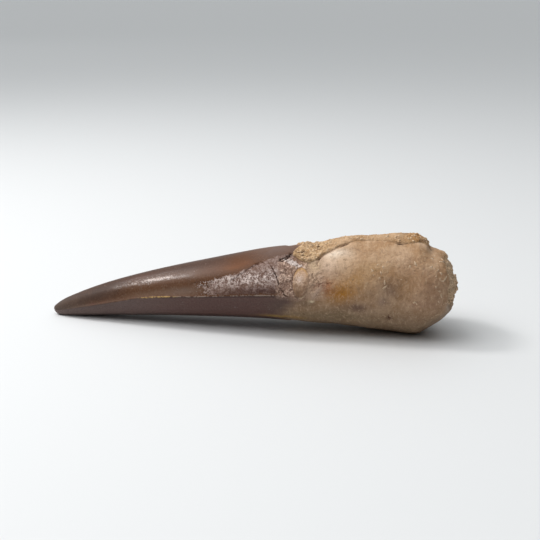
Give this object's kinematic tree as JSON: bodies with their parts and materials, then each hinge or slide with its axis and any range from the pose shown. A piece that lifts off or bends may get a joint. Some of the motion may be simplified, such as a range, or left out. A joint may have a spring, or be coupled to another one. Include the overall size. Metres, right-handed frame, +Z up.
{
  "type": "fossil dinosaur tooth",
  "caption": "Long conical fossil dinosaur tooth with its root, lying on its side, with cutting ridges, a sand crust and a rough broken end.",
  "frame": {"origin": "on the table under the middle of the tooth as it lies", "axes": "+X along the tooth from its tip to its broken root, +Z up from the table, -Y the side that shows the crust's lip"},
  "size_m": [0.1406, 0.0304, 0.0334],
  "materials": {
    "fossil": "satin brown enamel running into waxy tan root with a matt sandy crust"
  },
  "bodies": {
    "root": {"tooth": "fossil"}
  },
  "joints": []
}
